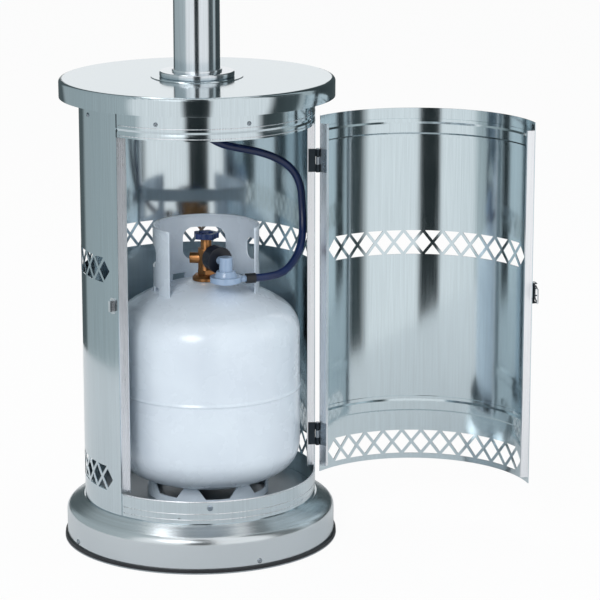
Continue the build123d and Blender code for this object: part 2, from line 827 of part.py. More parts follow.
def pilot():
    """Pilot tube and flame sensor, side by side next to the burner."""
    parts = []
    for phi in (-PILOT_HALF_PHI, PILOT_HALF_PHI):
        foot = polar(phi, BURNER_R + PILOT_OUT, BURNER_Z)
        parts.append(rod(foot, foot + Vector(0, 0, PILOT_HEIGHT), PILOT_R))
    return parts


def control_valve():
    """Gas valve block behind the knob, on the end of the pipe."""
    half = VALVE_BLOCK / 2
    front = -HEAD_R + VALVE_BLOCK_SETBACK
    block = Pos(0, (half + front) / 2, CONTROL_Z) * Box(VALVE_BLOCK, half - front, VALVE_BLOCK)
    inner_end = HEAD_R + SPINDLE_OUT - SPINDLE_LENGTH - KNOB_TRAVEL - 2 * KNOB_GAP
    bore = rod(polar(0, inner_end, CONTROL_Z), polar(0, HEAD_R, CONTROL_Z), SPINDLE_R + RUNNING_FIT)
    return block - bore


def burner_jet():
    z = CONTROL_Z + VALVE_BLOCK / 2
    return rod((0, 0, z), (0, 0, BURNER_Z), PIPE_R)


def tilt_switch():
    """Safety switch that shuts the gas if the heater tips over."""
    return Pos(0, TILT_SWITCH_Y, HOUSING_Z + TILT_SWITCH[2] / 2) * Box(*TILT_SWITCH)


def control_spindle():
    tip = HEAD_R + SPINDLE_OUT
    start = polar(0, tip - SPINDLE_LENGTH, CONTROL_Z)
    return rod(start, polar(0, tip, CONTROL_Z), SPINDLE_R)


def control_knob():
    """Fluted knob with a grip bar, on the spindle's end."""
    inner = HEAD_R + KNOB_TRAVEL + KNOB_GAP
    face = inner + KNOB_SKIRT
    skirt = prism(polar(0, inner, CONTROL_Z), polar(0, face, CONTROL_Z), KNOB_R, 2 * KNOB_FLUTES)
    grip = local_box(control_plane(0, face), (-KNOB_R * 0.3, KNOB_R * 0.3),
                     (-KNOB_R * 0.9, KNOB_R * 0.9), (0, KNOB_DEPTH - KNOB_SKIRT))
    bore_start = polar(0, inner - KNOB_GAP, CONTROL_Z)
    bore = rod(bore_start, polar(0, HEAD_R + SPINDLE_OUT, CONTROL_Z), SPINDLE_R + RUNNING_FIT)
    return skirt + grip - bore


def igniter_body():
    """Push lighter: a bezel outside the drum and a barrel inside it."""
    plane = control_plane(IGNITER_PHI, HEAD_R)
    bezel = extrude(plane * Circle(IGNITER_R + 4), IGNITER_BEZEL)
    barrel = extrude(plane * Circle(IGNITER_R), -IGNITER_BODY_L)
    bore_r = IGNITER_R - 1.6
    bore = extrude(plane * Circle(bore_r), IGNITER_BEZEL + 1)
    deep = extrude(plane * Circle(bore_r), -(IGNITER_BODY_L - 6))
    return bezel + barrel - bore - deep


def igniter_button():
    plane = control_plane(IGNITER_PHI, HEAD_R)
    radius = IGNITER_R - 1.6 - RUNNING_FIT
    head = extrude(plane * Circle(radius), IGNITER_BEZEL + IGNITER_OUT)
    tail = extrude(plane * Circle(radius), -(IGNITER_BODY_L - 6 - IGNITER_TRAVEL - 1))
    return head + tail


# Reflector

def stud_points():
    for step in range(STUDS):
        yield polar(60.0 + 360.0 * step / STUDS, STUD_PCD / 2)


def reflector():
    """Spun aluminium dish in two cones with a turned rim, on three studs."""
    rim_z = CROWN_Z - REFLECTOR_DROP
    knee_z = CROWN_Z - REFLECTOR_KNEE_DROP
    points = [
        (0, CROWN_Z),
        (REFLECTOR_CROWN_R, CROWN_Z),
        (REFLECTOR_KNEE_R, knee_z),
        (REFLECTOR_R - 1, rim_z),
        (REFLECTOR_R - 1, rim_z - REFLECTOR_RIM_H),
        (REFLECTOR_R, rim_z - REFLECTOR_RIM_H),
        (REFLECTOR_R, rim_z + REFLECTOR_T),
        (REFLECTOR_KNEE_R, knee_z + REFLECTOR_T),
        (REFLECTOR_CROWN_R, CROWN_Z + REFLECTOR_T),
        (0, CROWN_Z + REFLECTOR_T),
    ]
    dish = turned(points)
    for p in stud_points():
        dish -= rod(p + Vector(0, 0, CROWN_Z - 5), p + Vector(0, 0, CROWN_Z + 5), STUD_R + 0.3)
    return dish


def reflector_studs():
    """Threaded rods from the emitter's cap, each with a nut that carries the dish."""
    studs = []
    for p in stud_points():
        low = p + Vector(0, 0, CAP_TOP_Z)
        high = p + Vector(0, 0, CROWN_Z + REFLECTOR_T + STUD_OVER)
        seat = p + Vector(0, 0, CROWN_Z)
        nut = prism(seat - Vector(0, 0, STUD_NUT_H), seat, STUD_NUT_R, 6)
        studs.append(rod(low, high, STUD_R) + nut)
    return studs


def wing_nuts():
    nuts = []
    for p in stud_points():
        z = CROWN_Z + REFLECTOR_T
        hub = prism(p + Vector(0, 0, z), p + Vector(0, 0, z + WING_NUT_H), WING_NUT_R, 12)
        wings = Pos(p.X, p.Y, z + WING_NUT_H) * Box(WING_SPAN, WING_T, WING_NUT_H)
        hole = rod(p + Vector(0, 0, z - 1), p + Vector(0, 0, z + 3 * WING_NUT_H), STUD_R + RUNNING_FIT)
        nuts.append(hub + wings - hole)
    return nuts


# Gas bottle

def bottle_vessel(hollow=True):
    """Welded steel bottle: two dished heads, a straight wall and a raised seam."""
    low, high = BOTTLE_LOW_TANGENT_Z, BOTTLE_TOP_TANGENT_Z
    knuckle_r = BOTTLE_R - HEAD_KNUCKLE_R
    seam_z = FLOOR_Z + SEAM_RISE

    def joint(crown_r, tangent_z, up):
        """Where crown and knuckle meet, and the knuckle's middle point."""
        drop = sqrt((crown_r - HEAD_KNUCKLE_R) ** 2 - knuckle_r**2)
        lean = atan2(knuckle_r, drop)
        meet = (knuckle_r + HEAD_KNUCKLE_R * sin(lean), tangent_z + up * HEAD_KNUCKLE_R * cos(lean))
        half = (lean + pi / 2) / 2
        middle = (knuckle_r + HEAD_KNUCKLE_R * sin(half), tangent_z + up * HEAD_KNUCKLE_R * cos(half))
        return meet, middle

    top_meet, top_middle = joint(HEAD_CROWN_TOP_R, high, 1)
    low_meet, low_middle = joint(HEAD_CROWN_LOW_R, low, -1)
    crown_z = BOTTLE_TOP_Z - HEAD_CROWN_TOP_R
    floor_z = FLOOR_Z + BOTTLE_UNDER + HEAD_CROWN_LOW_R
    neck_z = crown_z + sqrt(HEAD_CROWN_TOP_R**2 - NECK_HOLE_R**2)

    def on_crown(centre_z, radius, up, share, meet):
        r = share * meet[0]
        return (r, centre_z + up * sqrt(radius**2 - r**2))

    top_share = on_crown(crown_z, HEAD_CROWN_TOP_R, 1, 0.5, top_meet)
    low_share = on_crown(floor_z, HEAD_CROWN_LOW_R, -1, 0.5, low_meet)
    wall = BOTTLE_WALL
    inner_r = BOTTLE_R - wall
    bend = (HEAD_KNUCKLE_R - wall) * sin(pi / 4)
    inside = [
        (NECK_HOLE_R, neck_z - wall - 2),
        (knuckle_r, crown_z + sqrt((HEAD_CROWN_TOP_R - wall) ** 2 - knuckle_r**2)),
        (knuckle_r + bend, high + bend),
        (inner_r, high),
        (inner_r, low),
        (knuckle_r + bend, low - bend),
        (knuckle_r, floor_z - sqrt((HEAD_CROWN_LOW_R - wall) ** 2 - knuckle_r**2)),
        (0, floor_z - HEAD_CROWN_LOW_R + wall),
    ]
    if not hollow:
        inside = [(0, neck_z)]
    outline = [
        ThreePointArc((0, floor_z - HEAD_CROWN_LOW_R), low_share, low_meet),
        ThreePointArc(low_meet, low_middle, (BOTTLE_R, low)),
        Polyline((BOTTLE_R, low), (BOTTLE_R, seam_z - SEAM_H / 2),
                 (BOTTLE_R + SEAM_OUT, seam_z), (BOTTLE_R, seam_z + SEAM_H / 2), (BOTTLE_R, high)),
        ThreePointArc((BOTTLE_R, high), top_middle, top_meet),
        ThreePointArc(top_meet, top_share, (NECK_HOLE_R, neck_z)),
        Polyline((NECK_HOLE_R, neck_z), *inside, (0, floor_z - HEAD_CROWN_LOW_R)),
    ]
    return revolve(Plane.XZ * make_face(outline), axis=Axis.Z)


def bottle_foot(vessel):
    """Foot ring with notches under the bottle's lower head."""
    top = BOTTLE_LOW_TANGENT_Z
    foot = ring(FOOT_R - FOOT_T, FOOT_R, FLOOR_Z, top)
    high = top - FLOOR_Z
    for step in range(FOOT_NOTCHES):
        phi = FOOT_NOTCH_START + 360.0 * step / FOOT_NOTCHES
        low_w = FOOT_R * sin(radians(FOOT_NOTCH_LOW_PHI / 2))
        top_w = FOOT_R * sin(radians(FOOT_NOTCH_TOP_PHI / 2))
        rise = high - FOOT_NOTCH_LOW
        spread = low_w + (top_w - low_w) * rise / FOOT_NOTCH_HEIGHT
        points = [(-low_w, 0), (low_w, 0), (spread, rise), (-spread, rise)]
        plane = wall_plane(phi, FOOT_R, FLOOR_Z + FOOT_NOTCH_LOW)
        foot -= extrude(plane * make_face(Polyline(*points, close=True)), 4 * FOOT_T, both=True)
    return foot - vessel


def bottle_collar(vessel):
    """Open collar round the valve, with three hand holes and drain notches at its foot."""
    low = BOTTLE_TOP_Z - COLLAR_SINK
    collar = ring(COLLAR_R - COLLAR_T, COLLAR_R, low, COLLAR_TOP_Z, COLLAR_START_PHI, COLLAR_SWEEP)
    for phi, height in zip(COLLAR_HOLE_PHIS, COLLAR_HOLE_HEIGHTS):
        plane = wall_plane(phi, COLLAR_R, COLLAR_TOP_Z - COLLAR_HOLE_DROP)
        hole = RectangleRounded(COLLAR_HOLE_W, height, height * 0.32)
        collar -= extrude(plane * hole, 12 * COLLAR_T, both=True)
    for phi in COLLAR_NOTCH_PHIS:
        plane = wall_plane(phi, COLLAR_R, low)
        notch = Rectangle(COLLAR_NOTCH_W, 2 * (COLLAR_NOTCH_H + 8))
        collar -= extrude(plane * notch, 4 * COLLAR_T, both=True)
    return collar - vessel


def valve_boss():
    """Welded boss in the bottle's neck, drawn about the bottle's axis."""
    low = BOTTLE_TOP_Z - 3.0
    points = [
        (0, low - 4),
        (NECK_HOLE_R - 0.1, low - 4),
        (NECK_HOLE_R - 0.1, BOTTLE_TOP_Z),
        (BOSS_R, BOTTLE_TOP_Z),
        (BOSS_R, BOTTLE_TOP_Z + BOSS_H * 0.5),
        (BOSS_R * 0.8, BOTTLE_TOP_Z + BOSS_H),
        (0, BOTTLE_TOP_Z + BOSS_H),
    ]
    return turned(points)


def valve_body():
    """Brass valve: hexagon foot, body, outlet to the front, relief port and bonnet."""
    foot_top = BOSS_TOP_Z + VALVE_FOOT_H
    shoulder_z = BONNET_Z - BONNET_H
    relief_z = VALVE_Z - RELIEF_DROP
    body = prism((0, 0, BOSS_TOP_Z), (0, 0, foot_top), VALVE_R + 2, 6)
    body += rod((0, 0, foot_top), (0, 0, shoulder_z), VALVE_R)
    body += rod((0, 0, shoulder_z), (0, 0, BONNET_Z), BONNET_R)
    body += rod((0, 0, VALVE_Z), (0, -VALVE_OUTLET_L, VALVE_Z), VALVE_OUTLET_R)
    body += rod((0, 0, relief_z), polar(RELIEF_PHI, RELIEF_L, relief_z), RELIEF_R)
    body -= rod((0, 0, BONNET_Z - STEM_DEPTH - 1), (0, 0, BONNET_Z + 2), STEM_R + RUNNING_FIT)
    return body


def hand_wheel():
    """Lobed hand wheel with its stem in the valve's bonnet."""
    low = BONNET_Z + WHEEL_CLEAR
    disc_face = Circle(WHEEL_R - 3.2)
    for step in range(WHEEL_LOBES):
        spot = outward(360.0 * step / WHEEL_LOBES) * (WHEEL_R - 6.0)
        disc_face += Pos(spot.X, spot.Y) * Circle(6.0)
    wheel = extrude(Pos(0, 0, low) * disc_face, WHEEL_H)
    wheel -= Pos(0, 0, low + WHEEL_H) * Cylinder(WHEEL_R - 9.0, 2 * WHEEL_RIM)
    stem_top = low + WHEEL_H - WHEEL_RIM + 2.5
    stem = rod((0, 0, BONNET_Z - STEM_DEPTH), (0, 0, stem_top), STEM_R)
    return wheel + stem


def coupling_nut():
    """Large hand nut over the valve's outlet."""
    z = VALVE_Z
    start = -NUT_START
    end = start - NUT_L
    outside = prism((0, start, z), (0, end, z), NUT_R, 2 * NUT_LOBES)
    bore = rod((0, start + 1, z), (0, end + 4, z), NUT_BORE_R)
    neck = rod((0, start, z), (0, end - 1, z), INLET_R + RUNNING_FIT + 0.05)
    return outside - bore - neck


def regulator():
    """Round low regulator with a domed lid, inlet nipple, upright boss and outlet stub."""
    z = REGULATOR_Z
    nipple_z = VALVE_Z
    centre = (0, REGULATOR_Y, z)
    points = [
        (0, 0),
        (REGULATOR_DOME_R, 0),
        (REGULATOR_R, 0.25 * REGULATOR_H),
        (REGULATOR_R, REGULATOR_H),
        (REGULATOR_DOME_R, REGULATOR_H),
        (REGULATOR_DOME_R - 4, REGULATOR_H + REGULATOR_DOME_H),
        (0, REGULATOR_H + REGULATOR_DOME_H),
    ]
    body = Pos(*centre) * turned(points)
    boss_top = nipple_z + INLET_R + 3
    body += rod((0, REGULATOR_Y, z + REGULATOR_H), (0, REGULATOR_Y, boss_top), INLET_R + 4)
    nipple_end = -VALVE_OUTLET_L - SEAT_GAP
    body += rod((0, REGULATOR_Y, nipple_z), (0, nipple_end, nipple_z), INLET_R)
    body += rod((0, nipple_end - 4, nipple_z), (0, nipple_end, nipple_z), NUT_BORE_R - 1.0)
    out = outward(REGULATOR_OUT_PHI)
    start = Vector(0, REGULATOR_Y, z + REGULATOR_H / 2)
    body += rod(start, start + out * (REGULATOR_R + OUTLET_L), OUTLET_R)
    return body


# Gas hose

def outlet_end():
    """Where the regulator's stub ends, in the heater's frame."""
    start = Vector(BOTTLE_AT[0], BOTTLE_AT[1] + REGULATOR_Y, REGULATOR_Z + REGULATOR_H / 2)
    return start + outward(REGULATOR_OUT_PHI) * (REGULATOR_R + OUTLET_L)


def hose_start():
    return outlet_end() + outward(REGULATOR_OUT_PHI) * FERRULE_L


def hose_end():
    return Vector(0, 0, CABINET_TOP_Z - TOP_PLATE_T - UNION_L - FERRULE_L)


def hose_ferrules():
    low = rod(outlet_end(), hose_start(), FERRULE_R)
    high = rod(hose_end(), hose_end() + Vector(0, 0, FERRULE_L), FERRULE_R)
    return [low, high]


def hose_union():
    z = CABINET_TOP_Z - TOP_PLATE_T
    return prism((0, 0, z - UNION_L), (0, 0, z), UNION_R, 6)


def hose_route():
    return [hose_start()] + [Vector(*p) for p in HOSE_POINTS] + [hose_end()]


def gas_hose():
    points = hose_route()
    radii = []
    for before, here, after in zip(points, points[1:], points[2:]):
        run = min((here - before).length, (after - here).length)
        turn = (here - before).get_angle(after - here)
        radii.append(0.45 * run / tan(radians(turn) / 2))
    path = FilletPolyline(*points, radius=radii)
    print("hose radii", [round(r, 1) for r in radii], "length", round(path.length, 1))
    print("hose runs", [round((b - a).length, 1) for a, b in zip(points, points[1:])])
    section = Plane(origin=path @ 0, z_dir=path % 0) * Circle(HOSE_R)
    hose = sweep(section, path=path)
    print("hose volume share", round(hose.volume / (pi * HOSE_R**2 * path.length), 5))
    return hose


def build():
    solid_bottle = bottle_vessel(hollow=False)
    return {
        "base_plate": base_plate(),
        "edge_trim": edge_trim(),
        "base_cover": base_cover(),
        "base_screws": base_screws(),
        "floor_plate": floor_plate(),
        "bottom_band": bottom_band(),
        "top_band": top_band(),
        "cabinet_shell": cabinet_shell(),
        "left_jamb": jamb(-1),
        "right_jamb": jamb(1),
        "band_screws": band_screws(),
        "frame_hinge_leaves": frame_hinge_leaves(),
        "hinge_pins": hinge_pins(),
        "latch_keeper": latch_keeper(),
        "door_skin": door_skin(),
        "door_free_flange": door_flange(-1),
        "door_hinge_flange": door_flange(1),
        "door_top_rib": door_rib(DOOR_TOP_Z - RIB_TOP_DROP),
        "door_low_rib": door_rib(DOOR_LOW_Z + RIB_LOW_RISE),
        "door_hinge_leaves": door_hinge_leaves(),
        "latch_plate": latch_plate(),
        "latch_lever": latch_lever(),
        "latch_bail": latch_bail(),
        "top_plate": top_plate(),
        "table_top": table_top(),
        "post_flange": post_flange(),
        "flange_bolts": flange_bolts(),
        "lower_post": lower_post(),
        "upper_post": upper_post(),
        "post_sleeve": post_sleeve(),
        "gas_pipe": gas_pipe(),
        "head_base": head_base(),
        "head_housing": head_housing(),
        "burner_plate": burner_plate(),
        "burner": burner(),
        "emitter_screen": emitter_screen(),
        "emitter_cap": emitter_cap(),
        "pilot": pilot(),
        "control_valve": control_valve(),
        "burner_jet": burner_jet(),
        "tilt_switch": tilt_switch(),
        "control_spindle": control_spindle(),
        "control_knob": control_knob(),
        "igniter_body": igniter_body(),
        "igniter_button": igniter_button(),
        "reflector": reflector(),
        "reflector_studs": reflector_studs(),
        "wing_nuts": wing_nuts(),
        "bottle_vessel": at_bottle(bottle_vessel()),
        "bottle_foot": at_bottle(bottle_foot(solid_bottle)),
        "bottle_collar": at_bottle(bottle_collar(solid_bottle)),
        "valve_boss": at_bottle(valve_boss()),
        "valve_body": at_bottle(valve_body()),
        "hand_wheel": at_bottle(hand_wheel()),
        "coupling_nut": at_bottle(coupling_nut()),
        "regulator": at_bottle(regulator()),
        "hose_ferrules": hose_ferrules(),
        "hose_union": hose_union(),
        "gas_hose": gas_hose(),
    }


os.makedirs("parts", exist_ok=True)
for name, shape in build().items():
    solids = shape if isinstance(shape, list) else [shape]
    whole = solids[0] if len(solids) == 1 else Compound(children=[s.solid() for s in solids])
    export_step(whole, f"parts/{name}.step")
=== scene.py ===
import bpy
import bmesh
import json
from math import cos, pi, radians, sin
from mathutils import Matrix, Vector

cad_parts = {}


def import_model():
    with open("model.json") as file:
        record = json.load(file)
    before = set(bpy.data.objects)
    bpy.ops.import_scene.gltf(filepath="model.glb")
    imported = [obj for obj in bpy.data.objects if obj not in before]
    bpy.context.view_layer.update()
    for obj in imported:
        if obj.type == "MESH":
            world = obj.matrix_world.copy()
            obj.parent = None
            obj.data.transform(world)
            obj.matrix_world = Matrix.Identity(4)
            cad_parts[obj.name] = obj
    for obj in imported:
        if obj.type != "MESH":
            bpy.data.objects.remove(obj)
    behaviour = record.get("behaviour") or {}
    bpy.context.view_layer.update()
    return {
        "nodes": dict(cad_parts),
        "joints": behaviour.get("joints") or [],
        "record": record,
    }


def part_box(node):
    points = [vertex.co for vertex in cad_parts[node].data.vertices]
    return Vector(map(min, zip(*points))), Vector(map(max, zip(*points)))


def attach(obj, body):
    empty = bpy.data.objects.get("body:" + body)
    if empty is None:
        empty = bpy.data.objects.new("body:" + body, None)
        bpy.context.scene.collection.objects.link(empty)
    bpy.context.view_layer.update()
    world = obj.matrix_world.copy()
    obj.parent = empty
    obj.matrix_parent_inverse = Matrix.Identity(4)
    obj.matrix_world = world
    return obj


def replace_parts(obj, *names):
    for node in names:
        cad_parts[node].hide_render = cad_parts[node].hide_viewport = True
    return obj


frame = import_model()
NODES = frame["nodes"]

# Places and sizes read from the frame, in metres


def reach(node):
    """Largest distance from the heater's axis."""
    return max(Vector(v.co[:2]).length for v in NODES[node].data.vertices)


def low_z(node):
    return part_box(node)[0].z


def high_z(node):
    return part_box(node)[1].z


def centre(node):
    low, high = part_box(node)
    return (low + high) / 2


def joint(name):
    return next(j for j in frame["joints"] if j["name"] == name)


def polar(phi, radius, z=0.0):
    """Point at an angle that runs from -Y towards +X, in degrees."""
    return Vector((sin(radians(phi)) * radius, -cos(radians(phi)) * radius, z))


COVER_R = reach("base_cover")
CABINET_R = reach("cabinet_shell")
BAND_R = reach("top_band")
OPENING_Z = high_z("bottom_band")
OPENING_TOP_Z = low_z("top_band")
BOTTLE = centre("valve_boss")

# Screw heads: radius and height, and the steps of 45 degrees where they sit on the top band
BASE_SCREW_PHIS = (0, 90, 180, 270)
BASE_HEAD = (0.0042, 0.0018)
BAND_SCREWS = 8
BAND_HEAD = (0.0036, 0.0018)
ON_BAND = (0, 1, 7)

# Beads and hem of the bands, which end at the doorway's jambs
BAND_START_PHI = -66
BAND_SWEEP = 132
BEAD_R = 0.0008
BEAD_SINK = 0.0003
LOW_BEADS = (0.0072, 0.0172)
TOP_BEADS = (0.0035, 0.0195)
HEM_R = 0.0013
HEM_SINK = 0.0009

# Bottle: the collar's rolled rim and the foot's welds
RIM_AT_R = 0.08675
RIM_R = 0.0024
RIM_SINK = 0.0012
RIM_START_PHI = 42.6
RIM_SWEEP = 247.3
WELDS = 7
WELD_AT_R = 0.1018
WELD_R = 0.0016
WELD_SINK = 0.0008
WELD_START_PHI = -15.8
WELD_SWEEP = 14

# Head of the latch lever's pin, above the lever's joint
PIN_HEAD_RISE = 0.0168
PIN_HEAD = ((0, 0), (0.0034, 0), (0.0034, 0.0008), (0.0022, 0.0018), (0, 0.0021))

# Gas hose: the solid's route, with the bend at its top drawn a little higher, as photographed
HOSE_R = 0.0065
HOSE_ROUTE_MM = (
    (60.24, -89.68, 451),
    (85, -94, 451),
    (113, -91, 456),
    (139, -79, 471),
    (159, -64, 495),
    (169, -49, 523),
    (172, -40, 556),
    (170, -39, 588),
    (156, -36, 616),
    (130, -30, 635),
    (99, -23, 647),
    (68, -15, 654),
    (40, -9, 661),
    (17, -4, 675),
    (3, 0, 698),
    (0, 0, 729),
)

# Rounded edges on machined and pressed pieces
EDGE_WIDTHS = {
    "table_top": 0.0006,
    "post_flange": 0.0006,
    "hand_wheel": 0.0009,
    "coupling_nut": 0.0010,
    "regulator": 0.0010,
    "valve_body": 0.0006,
    "control_knob": 0.0008,
    "latch_plate": 0.0003,
    "latch_lever": 0.0003,
    "latch_keeper": 0.0005,
    "hose_union": 0.0006,
    "head_base": 0.0005,
    "reflector_studs": 0.0003,
    "wing_nuts": 0.0005,
}
EDGE_ANGLE = radians(35)
WELD_GAP = 0.00002

# Photograph's camera, in the frame
CAMERA_AT = Vector((-1.871, -4.008, 1.451))
CAMERA_LOOK = Vector((0.4447, 0.8654, -0.2311))
CAMERA_LENS = 164.16
CAMERA_SENSOR = 36.0

# Floor: colour, and the share of it that the camera sees as white
FLOOR_SIZE = 30.0
FLOOR_COLOUR = (0.86, 0.87, 0.88, 1)
FLOOR_WHITE = 0.94

# Lamps: name, place, size and power, all turned to one point of the heater
LAMP_TARGET = Vector((0, 0, 0.6))
LAMPS = (
    ("key", (-2.6, -2.6, 2.6), 1.6, 60),
    ("fill", (3.0, -2.0, 1.6), 1.8, 22),
    ("top", (0.0, 0.6, 4.2), 2.0, 40),
)
AMBIENT = 0.55

# Light tent, for reflections alone: angle round the heater in degrees, and how bright it is there
TENT_R = 1.35
TENT_LOW = 0.001
TENT_TOP = 3.4
TENT_SIDES = 96
TENT_TINT = (0.72, 0.95, 1.0)
TENT = (
    (-180, 0.12),
    (-166, 0.12),
    (-158, 0.45),
    (-120, 0.50),
    (-84, 0.55),
    (-76, 0.95),
    (-38, 1.0),
    (-34, 0.03),
    (-17, 0.03),
    (-13, 1.0),
    (30, 1.0),
    (38, 0.07),
    (60, 0.10),
    (65, 0.55),
    (76, 0.55),
    (81, 0.06),
    (116, 0.08),
    (136, 0.10),
    (142, 1.0),
    (168, 1.0),
    (174, 0.12),
    (180, 0.12),
)


# Node trees and materials


class Tree:
    """Adds nodes and links to the tree of a material or a world."""

    def __init__(self, owner):
        owner.use_nodes = True
        self.tree = owner.node_tree

    def node(self, kind, **settings):
        made = self.tree.nodes.new(kind)
        for key, value in settings.items():
            setattr(made, key, value)
        return made

    def link(self, out, target):
        self.tree.links.new(out, target)

    def math(self, operation, first, second=None):
        """Math node whose inputs are links or plain numbers."""
        made = self.node("ShaderNodeMath", operation=operation)
        for source, target in zip((first, second), made.inputs):
            if isinstance(source, (int, float)):
                target.default_value = source
            elif source is not None:
                self.link(source, target)
        return made.outputs[0]

    def split(self, vector):
        made = self.node("ShaderNodeSeparateXYZ")
        self.link(vector, made.inputs[0])
        return made.outputs

    def ramp(self, fac, stops):
        ramp = self.node("ShaderNodeValToRGB")
        self.link(fac, ramp.inputs["Fac"])
        elements = ramp.color_ramp.elements
        while len(elements) < len(stops):
            elements.new(0.5)
        for element, (place, colour) in zip(elements, stops):
            element.position = place
            element.color = (*colour, 1)
        return ramp.outputs["Color"]

    def spread(self, fac, low, high):
        spread = self.node("ShaderNodeMapRange")
        self.link(fac, spread.inputs["Value"])
        spread.inputs["To Min"].default_value = low
        spread.inputs["To Max"].default_value = high
        return spread.outputs["Result"]


class Shader(Tree):
    """Builds one procedural material around a Principled shader."""

    def __init__(self, name, base, metallic=0.0, roughness=0.4, **fixed):
        self.mat = bpy.data.materials.new(name)
        super().__init__(self.mat)
        self.bsdf = self.tree.nodes["Principled BSDF"]
        self.base = base
        self.bsdf.inputs["Base Color"].default_value = (*base, 1)
        self.bsdf.inputs["Metallic"].default_value = metallic
        self.bsdf.inputs["Roughness"].default_value = roughness
        for key, value in fixed.items():
            self.bsdf.inputs[key.replace("_", " ")].default_value = value
        self.coords = self.node("ShaderNodeTexCoord").outputs["Object"]

    def noise(self, scale, detail=4.0, stretch=(1, 1, 1)):
        mapping = self.node("ShaderNodeMapping")
        mapping.inputs["Scale"].default_value = stretch
        self.link(self.coords, mapping.inputs["Vector"])
        noise = self.node("ShaderNodeTexNoise")
        noise.inputs["Scale"].default_value = scale
        noise.inputs["Detail"].default_value = detail
        self.link(mapping.outputs["Vector"], noise.inputs["Vector"])
        return noise.outputs["Fac"]

    def colour_noise(self, fac, darker, lighter):
        shade = tuple(c * darker for c in self.base)
        light = tuple(min(1, c * lighter) for c in self.base)
        self.link(self.ramp(fac, ((0.3, shade), (0.7, light))), self.bsdf.inputs["Base Color"])

    def rough_noise(self, fac, low, high):
        self.link(self.spread(fac, low, high), self.bsdf.inputs["Roughness"])

    def bump(self, fac, strength, distance):
        bump = self.node("ShaderNodeBump")
        bump.inputs["Strength"].default_value = strength
        bump.inputs["Distance"].default_value = distance
        self.link(fac, bump.inputs["Height"])
        self.link(bump.outputs["Normal"], self.bsdf.inputs["Normal"])


def brushed(name, base, roughness):
    """Brushed sheet: fine upright streaks in colour, gloss and relief, and soft smudges."""
    sh = Shader(name, base, metallic=1.0, roughness=roughness)
    streaks = sh.noise(9, 6, (46, 46, 1))
    mixed = sh.math("MULTIPLY", streaks, sh.noise(7, 3))
    sh.colour_noise(streaks, 0.95, 1.05)
    sh.rough_noise(mixed, roughness - 0.06, roughness + 0.12)
    sh.bump(streaks, 0.035, 0.0003)
    return sh.mat


def spun(name, base, roughness):
    """Spun sheet: fine rings round the axis in colour, gloss and relief."""
    sh = Shader(name, base, metallic=1.0, roughness=roughness)
    flat = sh.node("ShaderNodeVectorMath", operation="MULTIPLY")
    flat.inputs[1].default_value = (1, 1, 0)
    sh.link(sh.coords, flat.inputs[0])
    away = sh.node("ShaderNodeVectorMath", operation="LENGTH")
    sh.link(flat.outputs["Vector"], away.inputs[0])
    rings = sh.node("ShaderNodeTexNoise", noise_dimensions="1D")
    rings.inputs["Scale"].default_value = 260
    rings.inputs["Detail"].default_value = 3
    sh.link(away.outputs["Value"], rings.inputs["W"])
    sh.colour_noise(rings.outputs["Fac"], 0.95, 1.04)
    sh.rough_noise(sh.noise(6), roughness - 0.06, roughness + 0.08)
    sh.bump(rings.outputs["Fac"], 0.03, 0.0003)
    return sh.mat


def painted(name, base, roughness, peel=160, coat=0.3):
    """Sprayed enamel with a faint orange peel, uneven gloss and slight dirt."""
    sh = Shader(name, base, roughness=roughness, Coat_Weight=coat, Coat_Roughness=0.15)
    sh.colour_noise(sh.noise(9, 6), 0.92, 1.03)
    sh.rough_noise(sh.noise(22), roughness - 0.08, roughness + 0.1)
    sh.bump(sh.noise(peel, 2), 0.1, 0.0003)
    return sh.mat


def moulded(name, base, roughness, grain=420, strength=0.15):
    """Moulded plastic or rubber with a fine grain."""
    sh = Shader(name, base, roughness=roughness)
    sh.colour_noise(sh.noise(35), 0.8, 1.25)
    sh.rough_noise(sh.noise(18), roughness - 0.08, roughness + 0.12)
    sh.bump(sh.noise(grain, 2), strength, 0.0002)
    return sh.mat


def plated(name, base, roughness=0.25):
    """Turned or pressed metal with a thin even coat."""
    sh = Shader(name, base, metallic=1.0, roughness=roughness)
    sh.colour_noise(sh.noise(60), 0.82, 1.08)
    sh.rough_noise(sh.noise(90), roughness - 0.07, roughness + 0.12)
    sh.bump(sh.noise(300, 2), 0.08, 0.0002)
    return sh.mat


def cast(name, base, roughness=0.7):
    """Rough cast iron."""
    sh = Shader(name, base, metallic=0.6, roughness=roughness)
    sh.colour_noise(sh.noise(50), 0.7, 1.3)
    sh.rough_noise(sh.noise(30), roughness - 0.1, roughness + 0.15)
    sh.bump(sh.noise(260, 5), 0.4, 0.0005)
    return sh.mat


def perforated(name, base, roughness=0.35):
    """Screen with rows of round perforations, drawn by angle and height round the axis; they are
    painted near black, as painted shade for the dark inside seen through them.
    """
    sh = Shader(name, base, metallic=1.0, roughness=roughness)
    x, y, z = sh.split(sh.coords)
    around = sh.math("SINE", sh.math("MULTIPLY", sh.math("ARCTAN2", y, x), 68))
    upward = sh.math("SINE", sh.math("MULTIPLY", z, 2 * pi / 0.0085))
    grid = sh.math("MULTIPLY", around, upward)
    # Near-black dots: painted shade where the perforations are, not a colour of the steel.
    painted_hole_shade = sh.ramp(grid, ((0.30, base), (0.36, (0.01, 0.01, 0.012))))
    sh.link(painted_hole_shade, sh.bsdf.inputs["Base Color"])
    sh.rough_noise(sh.noise(40), roughness - 0.1, roughness + 0.15)
    sh.bump(grid, 0.2, 0.0006)
    return sh.mat


